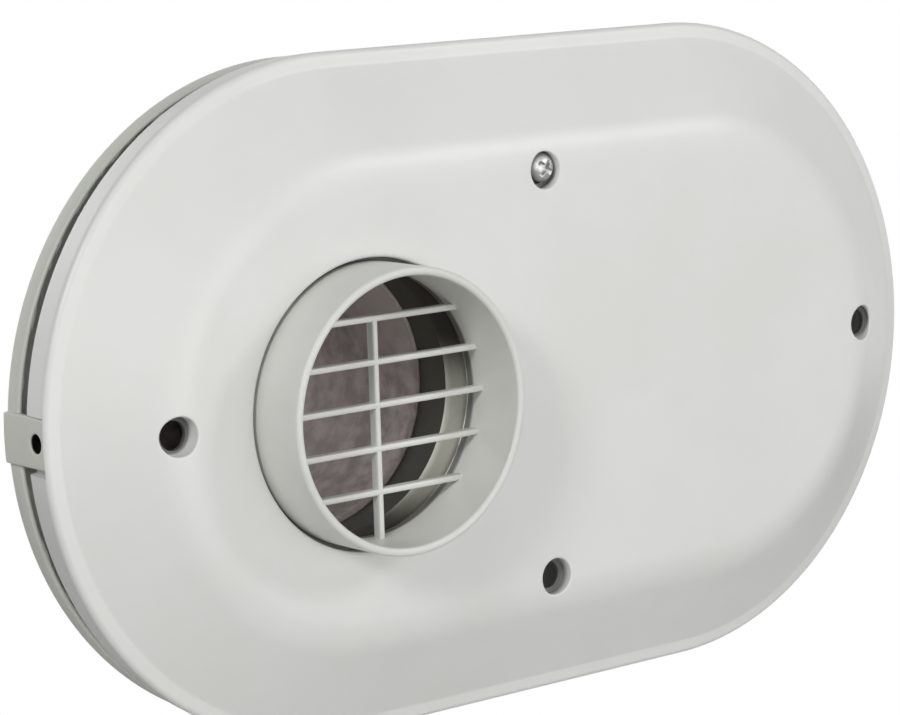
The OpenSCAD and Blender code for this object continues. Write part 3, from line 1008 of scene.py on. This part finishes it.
@dataclass
class FlueLine:
    """Collar, seal and pipe that carry the flue gas from the back to the outlet."""

    centre: tuple = (-48.0, 0.0)
    bore: float = 27.7
    socket: float = 32.4
    duct: float = 30.0
    wall: float = 1.5
    pipe_front: float = 21.5

    def collar(self) -> bpy.types.Object:
        """Thin drawn ring with a lip, seated in the outlet's bore."""
        b, s = self.bore, self.socket
        corners = [(b, 7), (b, 3.8), (b + 0.8, 3.8), (b + 0.8, 5.4), (s, 5.4), (s, 6.2), (b + 0.8, 6.2)]
        corners += [(b + 0.8, 11.2), (b, 11.2), (b, 7)]
        profile = refine(soft_path(corners, [0, 0.3, 0.1, 0.3, 0.2, 0.2, 0.3, 0.3, 0.3, 0], arc=4), 2.0)[:-1]
        skin = Skin()
        skin.grid(revolved(profile, self.centre, 160), wrap_rows=True)
        return skin.piece("flue_collar_ring")

    def seal(self) -> bpy.types.Object:
        """Moulded seal between collar and pipe, with soft lips."""
        b, s, d = self.bore + 0.8, self.socket, self.duct
        corners = [(29.0, 15), (29.0, 11.2), (b, 11.2), (b, 6.2), (s, 6.2), (s, 24.2), (d, 24.2), (d, 21.5)]
        corners += [(29.0, 21.5), (29.0, 15)]
        profile = refine(soft_path(corners, [0, 0.4, 0.2, 0.2, 0.4, 0.4, 0.3, 0.1, 0.3, 0], arc=4), 2.0)[:-1]
        skin = Skin()
        skin.grid(revolved(profile, self.centre, 160), wrap_rows=True)
        return skin.piece("flue_seal_ring")

    def pipe(self) -> bpy.types.Object:
        """Thin steel tube with a flange, a rolled groove behind the wall face and soft mouths."""
        return flanged_tube("flue_pipe_tube", self.centre, self.duct, self.wall, self.pipe_front, 0.25)

    def build(self) -> list[bpy.types.Object]:
        """Makes the three pieces of the flue."""
        return [
            seat(self.collar(), COLLAR_STEEL, ["flue_collar"]),
            seat(self.seal(), SILICONE, ["flue_seal"]),
            seat(self.pipe(), FLUE_STEEL, ["flue_pipe"]),
        ]


@dataclass
class IntakeCollar:
    """The air duct's collar behind the plain end of the cover."""

    centre: tuple = (48.0, 0.0)
    duct: float = 30.0
    wall: float = 2.2
    front: float = 19.0

    def build(self) -> list[bpy.types.Object]:
        """Makes the collar with its flange and a softened mouth."""
        piece = flanged_tube("intake_collar_tube", self.centre, self.duct, self.wall, self.front, 0.6)
        return [seat(piece, INTAKE_NYLON, ["intake_collar"])]


@dataclass
class BackPlate:
    """The tray behind the cover: rim, floor with two apertures, bosses and the two end tabs."""

    outline: Oblong = field(default_factory=Oblong)
    inset: float = 1.6
    front: float = 23.9
    floor: float = 25.4
    rear: float = 28.0
    rim_wall: float = 1.0
    rim_round: float = 0.6
    aperture: float = 30.4
    wall_holes: tuple = (86.0, 40.0)
    wall_hole: float = 2.6
    groove: tuple = (5.0, 11.0)
    groove_deep: float = 1.4
    tab_half: float = 5.2
    tab_outer: float = 71.4
    tab_wall: float = 1.6
    tab_front: float = 13.2
    tab_hole_depth: float = 16.3
    tab_hole: float = 2.0
    tab_pocket: float = 2.8
    boss_front: float = 16.0
    post: tuple = (4.7, 1.3)
    post_front: float = 4.3
    screw_points: tuple = ((-96.0, 0.0), (96.0, 0.0), (0.0, 44.0), (0.0, -44.0))

    def widened(self, plan: np.ndarray) -> np.ndarray:
        """Pushes the outline outwards behind the end tabs, to their outer face."""
        foot, outward, inset = self.outline.split(plan)
        height = np.abs(outward[..., 1]) * self.outline.radius
        end = np.abs(plan[..., 0]) > self.outline.half_line
        near = np.clip((self.tab_half - 0.04 - height) / 0.06, 0, 1) * end
        out = near * np.clip((self.inset + self.rim_wall - inset) / self.rim_wall, 0, 1)
        grow = self.tab_outer - 0.15 - (self.outline.radius - self.inset)
        return foot + outward * (self.outline.radius - inset + out * grow)[..., None]

    def face(self, plan: np.ndarray, front: bool) -> np.ndarray:
        """Front or rear surface: rim, then floor in front; flat with the strip's groove behind."""
        inset = self.outline.split(plan)[2]
        edge = rounding(inset - self.inset, self.rim_round if front else 0.3)
        if front:
            inner = self.inset + self.rim_wall
            depth = np.interp(inset, [inner, inner + 0.12], [self.front, self.floor])
            depth = depth + edge + rounding(inner - inset, 0.35) * (inset < inner)
        else:
            g0, g1 = self.groove
            sunk = np.interp(inset, [g0, g0 + 0.05, g1 - 0.05, g1], [0, 1, 1, 0])
            depth = self.rear - self.groove_deep * sunk - edge
        return in_frame(self.widened(plan), depth)

    def tray(self) -> Skin:
        """The floor and rim as two Delaunay faces over one plan, joined along every edge."""
        skin = Skin()
        stops = (self.tab_half - 0.1, self.tab_half - 0.02)
        feet, out = self.outline.rays(stops)
        rows = [1.62, 1.68, 1.77, 1.9, 2.05, 2.2, 2.3, 2.4, 2.5, 2.57, 2.6, 2.66, 2.72, 3.2, 4.0, 4.6, 5.0, 5.05]
        rows = np.array(rows + [7.0, 9.0, 10.95, 11.0, 12.5, 16.0, 21.0])
        rings = (feet[None] + out[None] * (self.outline.radius - rows[:, None, None])).reshape(-1, 2)
        x, z = np.meshgrid(np.arange(-100, 101, 8.0), np.arange(-60, 61, 7.0))
        pts = np.column_stack([(x + (np.arange(x.shape[0]) % 2)[:, None] * 4).ravel(), z.ravel()])
        pts = np.vstack([rings, pts[self.outline.split(pts)[2] > 23]])
        holes = [((s * 48.0, 0.0), self.aperture, 144) for s in (-1, 1)]
        holes += [((sx * self.wall_holes[0], sz * self.wall_holes[1]), self.wall_hole, 40) for sx in (-1, 1) for sz in (-1, 1)]
        for centre, radius, _ in holes:
            pts = pts[np.linalg.norm(pts - np.asarray(centre), axis=-1) > radius + 0.8]
        edge = feet + out * (self.outline.radius - self.inset)
        loops = [edge] + [circle(c, r, n) for c, r, n in holes]
        plan, tris = filled(loops, pts)
        skin.add(self.face(plan, True), tris)
        skin.add(self.face(plan, False), tris)
        for loop in loops:
            skin.strip(self.face(loop, True), self.face(loop, False))
        return skin

    def add_tab(self, skin: Skin, side: int) -> None:
        """One end tab: a rounded rectangle with a hole, bent round the end at its own radius.

        A point (height, depth) of the flat tab goes to the angle height / radius at its depth.
        """
        half, low, high, corner = self.tab_half, self.tab_front, self.rear, 1.0
        t = np.linspace(0, math.pi / 2, 6)[:, None]
        arc = np.hstack([np.cos(t), np.sin(t)])
        middle = np.array([0, (low + high) / 2])
        size = np.array([half, (high - low) / 2])
        hole_at = np.array([0.0, self.tab_hole_depth])

        def loop(shrink: float) -> np.ndarray:
            """The tab's outline, drawn in by `shrink`."""
            r = max(corner - shrink, 0.15)
            quad = [(1, 1), (-1, 1), (-1, -1), (1, -1)]
            runs = []
            for n, (sx, sy) in enumerate(quad):
                bend = arc if n % 2 == 0 else arc[::-1]
                runs.append(np.array([sx, sy]) * (size - shrink - r + r * bend) + middle)
            return refine(np.vstack(runs + [runs[0][:1]]), 0.8)[:-1]

        def bent(flat: np.ndarray, outer: bool) -> np.ndarray:
            """Bends flat points round the end, with quarter-round edges."""
            gap = np.minimum(size[0] - np.abs(flat[..., 0]), size[1] - np.abs(flat[..., 1] - middle[1]))
            fall = rounding(gap, 0.4) + rounding(np.linalg.norm(flat - hole_at, axis=-1) - self.tab_hole, 0.3)
            radius = self.tab_outer - fall if outer else self.tab_outer - self.tab_wall + 0 * fall
            angle = flat[..., 0] / self.tab_outer
            plan = np.stack([side * (48.0 + radius * np.cos(angle)), radius * np.sin(angle)], -1)
            return in_frame(plan, np.minimum(flat[..., 1], self.rear - 0.02))

        def below(radius: float, fall: float) -> np.ndarray:
            """Ring of the side hole, `fall` millimetres under the tab's outer face."""
            flat = circle(tuple(hole_at), radius, 40)
            angle = flat[:, 0] / self.tab_outer
            reach = self.tab_outer - fall
            plan = np.stack([side * (48.0 + reach * np.cos(angle)), reach * np.sin(angle)], -1)
            return in_frame(plan, flat[:, 1])

        edge = loop(0.0)
        hole = circle(tuple(hole_at), self.tab_hole, 40)
        pocket = circle(tuple(hole_at), self.tab_pocket, 40)
        inner = [loop(g) for g in (0.05, 0.15, 0.3, 0.5)] + [circle(tuple(hole_at), self.tab_hole + g, 40) for g in (0.04, 0.12, 0.3, 0.6)]
        x, z = np.meshgrid(np.linspace(-4.6, 4.6, 7), np.arange(low + 1.2, high - 1, 1.3))
        pts = np.column_stack([x.ravel(), z.ravel()])
        pts = pts[np.linalg.norm(pts - hole_at, axis=-1) > self.tab_hole + 0.9]
        plan, tris = filled([edge, hole], np.vstack(inner + [pts]))
        skin.add(bent(plan, True), tris)
        plan, tris = filled([edge, pocket], np.zeros((0, 2)))
        skin.add(bent(plan, False), tris)
        skin.strip(bent(edge, True), bent(edge, False))
        rings = [below(self.tab_hole, 0.6), below(self.tab_pocket, 0.6)]
        skin.grid(np.stack([bent(hole, True), *rings, bent(pocket, False)]))

    def add_bosses(self, skin: Skin) -> None:
        """Adds the screw bosses with their posts, and the pads round the wall holes."""
        f, b = self.boss_front, self.floor + 0.2
        boss = [(0, 24.4), (2.05, 24.4), (2.05, f + 6), (3, f + 6), (3, f), (5.2, f), (5.2, b), (0, b)]
        boss = soft_path(boss, [0, 0.3, 0, 0, 0.1, 0.4, 0, 0])
        away, radius = self.post
        post = soft_path([(0, self.post_front), (radius, self.post_front), (radius, b), (0, b)], [0, 0.2, 0, 0])
        for x, z in self.screw_points:
            skin.grid(revolved(boss, (x, z), 48))
            for side in (-1, 1):
                skin.grid(revolved(post, (x, z + side * away), 24))
        pad = soft_path([(2.6, 25.6), (2.6, 23.4), (6.0, 23.4), (6.0, 25.6)], [0, 0.2, 0.4, 0])
        for sx in (-1, 1):
            for sz in (-1, 1):
                skin.grid(revolved(pad, (sx * self.wall_holes[0], sz * self.wall_holes[1]), 40), wrap_rows=True)

    def build(self) -> list[bpy.types.Object]:
        """Makes the tray with its tabs and bosses."""
        skin = self.tray()
        self.add_tab(skin, -1)
        self.add_tab(skin, 1)
        self.add_bosses(skin)
        plate = skin.piece("back_plate_tray", 42.0)
        return [seat(plate, PLATE_ASA, ["back_plate"])]


@dataclass
class WallGasket:
    """The foam strip in the back plate's groove."""

    outline: Oblong = field(default_factory=Oblong)

    def build(self) -> list[bpy.types.Object]:
        """Carries a soft rectangular section round the outline."""
        corners = [(5.1, 27.3), (5.1, 26.65), (10.9, 26.65), (10.9, 28.0), (5.1, 28.0), (5.1, 27.3)]
        section = refine(soft_path(corners, [0, 0.1, 0.1, 0.4, 0.4, 0], arc=4), 1.0)[:-1]
        skin = Skin()
        skin.grid(self.outline.swept(section), wrap_rows=True)
        return [seat(skin.piece("wall_gasket_strip"), FOAM, ["wall_gasket"])]


@dataclass
class Fasteners:
    """The one fitted cover screw, and the finishes of the small metal parts behind."""

    centre: tuple = (0.0, 44.0)
    head: float = 3.1
    head_top: float = 0.35
    head_under: float = 3.1
    shank: float = 2.0
    shank_end: float = 21.5
    off: tuple = (0.4, 0.45)
    arm: float = 2.1
    arm_half: float = 0.46
    turn: float = 38.0
    fall: float = 1.5

    def cover_screw(self) -> bpy.types.Object:
        """Pan head as a polar height field, with the cross sunk into its dome.

        Height = dome(radius) + cross, where the cross is the larger of two soft-edged arms.
        """
        reach = np.concatenate([[0], np.linspace(0.12, self.head, 44)])
        t = np.arange(144) * 2 * math.pi / 144
        plan = reach[:, None, None] * np.stack([np.cos(t), np.sin(t)], -1)[None]
        a = math.radians(self.turn)
        u = plan[..., 0] * math.cos(a) - plan[..., 1] * math.sin(a)
        v = plan[..., 0] * math.sin(a) + plan[..., 1] * math.cos(a)

        def arm(along: np.ndarray, across: np.ndarray) -> np.ndarray:
            """One arm of the cross: full depth in the middle, sloping out to its ends."""
            width = np.clip((self.arm_half - np.abs(across)) / 0.16 + 0.5, 0, 1)
            return width * np.clip((self.arm - np.abs(along)) / 1.0, 0, 1)

        cross = np.maximum(arm(u, v), arm(v, u))
        dome = self.fall * (reach / self.head) ** 3.4
        top = self.head_top + dome[:, None] + 0.9 * cross
        skin = Skin()
        centre = np.asarray(self.centre) + np.asarray(self.off)
        corners = [
            (self.head, self.head_top + self.fall),
            (self.head, self.head_under),
            (self.shank, self.head_under),
            (self.shank, self.shank_end - 1),
            (self.shank - 1, self.shank_end),
            (0, self.shank_end),
        ]
        body = soft_path(corners, [0, 0.2, 0, 0, 0, 0])
        rows = np.concatenate([in_frame(centre + plan, top), revolved(body, tuple(centre), 144)])
        skin.grid(rows)
        return skin.piece("cover_screw_pan_head", 30.0)

    def build(self) -> list[bpy.types.Object]:
        """Makes the cover screw and dresses the CAD screws and inserts."""
        screw = seat(self.cover_screw(), SCREW_STEEL, ["cover_screw"])
        for node in ("spigot_screws", "flue_screws", "intake_screws"):
            dress(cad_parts[node], ZINC)
        dress(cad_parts["boss_inserts"], BRASS)
        return [screw]


# Studio


@dataclass(frozen=True)
class Softbox:
    """A square lamp that faces the object.

    Attributes:
        name: The lamp's name.
        azimuth: Degrees to the right of straight in front.
        elevation: Degrees above level.
        reach: Its distance in metres.
        size: Side of the square in metres.
        radiance: Watts per square metre and steradian at its face.
    """

    name: str
    azimuth: float
    elevation: float
    reach: float
    size: float
    radiance: float


@dataclass
class Studio:
    """Camera, softboxes, pale floor and the white surroundings."""

    azimuth: float = 39.08
    elevation: float = 8.96
    roll: float = 1.88
    distance: float = 687.2
    aim: tuple = (-27.82, -28.0, 7.35)
    focal_px: float = 3302.81
    width_px: float = 900.0
    floor_z: float = -720.0
    fill: float = 0.13
    # two small raised boxes throw the outlet's two soft shadows, the wide ones give the even light
    boxes: tuple = (
        Softbox("small_left", -63.6, 28.1, 1.2, 0.22, 27.5),
        Softbox("small_right", 43.5, 24.9, 1.2, 0.22, 16.0),
        Softbox("wide_right", 40.0, 0.0, 1.3, 0.6, 0.85),
        Softbox("wide_middle", 8.0, -1.0, 1.3, 0.6, 3.2),
        Softbox("wide_left", -26.0, 8.0, 1.3, 0.6, 1.9),
        Softbox("wide_side", -55.0, 32.0, 1.3, 0.6, 1.4),
        Softbox("wide_upper", -15.0, 50.0, 1.3, 0.6, 0.35),
        Softbox("rear", 180.0, 8.0, 1.3, 0.7, 3.0),
    )

    def camera(self) -> None:
        """Places the camera that was fitted to the photograph."""
        az, el, ro = (math.radians(v) for v in (self.azimuth, self.elevation, self.roll))
        forward = np.array([math.sin(az) * math.cos(el), math.cos(az) * math.cos(el), -math.sin(el)])
        right = np.cross(forward, [0, 0, 1])
        right /= np.linalg.norm(right)
        up = np.cross(right, forward)
        right, up = right * math.cos(ro) - up * math.sin(ro), right * math.sin(ro) + up * math.cos(ro)
        spot = (np.asarray(self.aim) - forward * self.distance) * MM
        data = bpy.data.cameras.new("camera")
        data.sensor_fit = "HORIZONTAL"
        data.sensor_width = 36.0
        data.lens = self.focal_px * 36.0 / self.width_px
        data.clip_start, data.clip_end = 0.01, 50.0
        eye = bpy.data.objects.new("camera", data)
        turn = np.eye(4)
        turn[:3, 0], turn[:3, 1], turn[:3, 2], turn[:3, 3] = right, up, -forward, spot
        eye.matrix_world = Matrix(turn.tolist())
        bpy.context.scene.collection.objects.link(eye)
        bpy.context.scene.camera = eye

    def lamp(self, box: Softbox) -> None:
        """Hangs a softbox that faces the object.

        Args:
            box: Where it hangs and how bright it is.
        """
        az, el = math.radians(box.azimuth), math.radians(box.elevation)
        way = np.array([math.sin(az) * math.cos(el), -math.cos(az) * math.cos(el), math.sin(el)])
        data = bpy.data.lights.new(box.name, "AREA")
        data.shape = "SQUARE"
        data.size = box.size
        data.energy = box.radiance * math.pi * box.size * box.size
        lamp = bpy.data.objects.new(box.name, data)
        side = np.cross([0, 0, 1], way)
        side /= np.linalg.norm(side)
        turn = np.eye(4)
        turn[:3, 0], turn[:3, 1], turn[:3, 2] = side, np.cross(way, side), way
        turn[:3, 3] = way * box.reach + np.array([-0.02, -0.028, 0.0])
        lamp.matrix_world = Matrix(turn.tolist())
        bpy.context.scene.collection.objects.link(lamp)

    def world(self, colour: str, strength: float) -> None:
        """Soft light from all round, and white for the camera and for reflections."""
        world = bpy.data.worlds.new("studio_white")
        bpy.context.scene.world = world
        world.use_nodes = True
        tree = world.node_tree
        tree.nodes.clear()
        path = add_node(tree, "ShaderNodeLightPath")
        seen = add_node(
            tree,
            "ShaderNodeMath",
            {"operation": "MAXIMUM"},
            links={0: path.outputs["Is Camera Ray"], 1: path.outputs["Is Glossy Ray"]},
        )
        seen = add_node(
            tree,
            "ShaderNodeMath",
            {"operation": "MAXIMUM"},
            links={0: seen.outputs[0], 1: path.outputs["Is Transmission Ray"]},
        )
        fill = add_node(tree, "ShaderNodeBackground", values={"Color": linear(colour), "Strength": strength})
        white = add_node(tree, "ShaderNodeBackground", values={"Color": (1, 1, 1, 1), "Strength": 1.0})
        mixed = add_node(
            tree,
            "ShaderNodeMixShader",
            links={0: seen.outputs[0], 1: fill.outputs[0], 2: white.outputs[0]},
        )
        add_node(tree, "ShaderNodeOutputWorld", links={"Surface": mixed.outputs[0]})

    def floor(self) -> None:
        """A round pale floor well below the object, which keeps its shadow near the middle."""
        reach = np.linspace(0, 3.0, 16)[:, None, None]
        t = np.arange(96) * 2 * math.pi / 96
        ring = np.stack([np.cos(t), np.sin(t), 0 * t], -1)[None]
        skin = Skin()
        skin.grid(reach * ring + np.array([0, 0, self.floor_z * MM]))
        floor = skin.piece("floor")
        paint = bpy.data.materials.new("floor_pale")
        paint.use_nodes = True
        tree = paint.node_tree
        tree.nodes.clear()
        path = add_node(tree, "ShaderNodeLightPath")
        place = add_node(tree, "ShaderNodeTexCoord").outputs["Object"]
        reach_node = add_node(tree, "ShaderNodeVectorMath", {"operation": "LENGTH"}, links={0: place})
        share = add_node(
            tree,
            "ShaderNodeMapRange",
            {"interpolation_type": "SMOOTHSTEP"},
            {1: 0.42, 2: 0.85, 3: 0.6, 4: 1.0},
            {0: reach_node.outputs["Value"]},
        )
        seen = add_node(
            tree,
            "ShaderNodeMath",
            {"operation": "MULTIPLY"},
            links={0: path.outputs["Is Camera Ray"], 1: share.outputs[0]},
        )
        body = add_node(tree, "ShaderNodeBsdfDiffuse", values={"Color": linear("#F2F2F0")})
        glow = add_node(tree, "ShaderNodeEmission", values={"Color": (1, 1, 1, 1), "Strength": 1.0})
        mixed = add_node(
            tree, "ShaderNodeMixShader", links={0: seen.outputs[0], 1: body.outputs[0], 2: glow.outputs[0]}
        )
        add_node(tree, "ShaderNodeOutputMaterial", links={"Surface": mixed.outputs[0]})
        floor.data.materials.append(paint)

    def build(self) -> None:
        """Sets up the whole studio."""
        bpy.context.scene.view_settings.view_transform = "Standard"
        self.camera()
        self.world("#FFFFFF", self.fill)
        self.floor()
        for box in self.boxes:
            self.lamp(box)


def main() -> None:
    """Builds the terminal in order and reports each piece."""
    logging.basicConfig(level=logging.INFO, format="%(name)s: %(message)s")
    Studio().build()
    makers: tuple[Callable[[], list], ...] = (
        FrontCover().build,
        OutletSpigot().build,
        FlueLine().build,
        IntakeCollar().build,
        BackPlate().build,
        WallGasket().build,
        Fasteners().build,
    )
    for make in makers:
        for piece in make():
            LOG.info("%s: %d faces, %s", piece.name, len(piece.data.polygons), piece.active_material.name)


if __name__ == "__main__":
    main()
